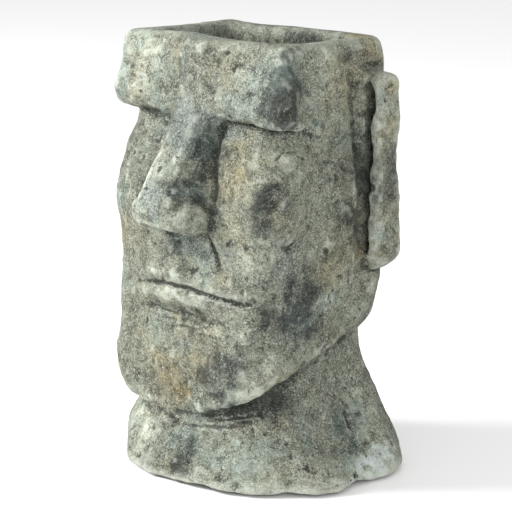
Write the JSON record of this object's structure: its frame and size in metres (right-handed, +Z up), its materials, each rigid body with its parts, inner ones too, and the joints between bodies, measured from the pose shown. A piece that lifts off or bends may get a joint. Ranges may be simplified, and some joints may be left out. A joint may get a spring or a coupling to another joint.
{
  "type": "stone-head planter",
  "caption": "Tall stone-look head with heavy brow, long nose, closed lips and slab ears; its open top is a deep planting cavity with a plugged drain.",
  "frame": {"origin": "centre of the footprint, on the surface the planter stands on", "axes": "+Z up, the face looks along -Y, the head's own left ear is on +X"},
  "size_m": [0.284, 0.2224, 0.4],
  "materials": {
    "cement": "rough, weathered cast cement, mottled grey-green",
    "plug_rubber": "matt black rubber",
    "pad_rubber": "matt dark grey rubber"
  },
  "bodies": {
    "planter": {"head_casting": "cement", "foot_pad_front_left": "pad_rubber", "foot_pad_front_right": "pad_rubber", "foot_pad_rear_left": "pad_rubber", "foot_pad_rear_right": "pad_rubber"},
    "plug": {"drain_plug": "plug_rubber"}
  },
  "joints": [
    {"name": "plug_lift", "type": "slide", "parent": "planter", "child": "plug", "axis": [0, 0, 1], "range_m": [0, 0.42]}
  ]
}
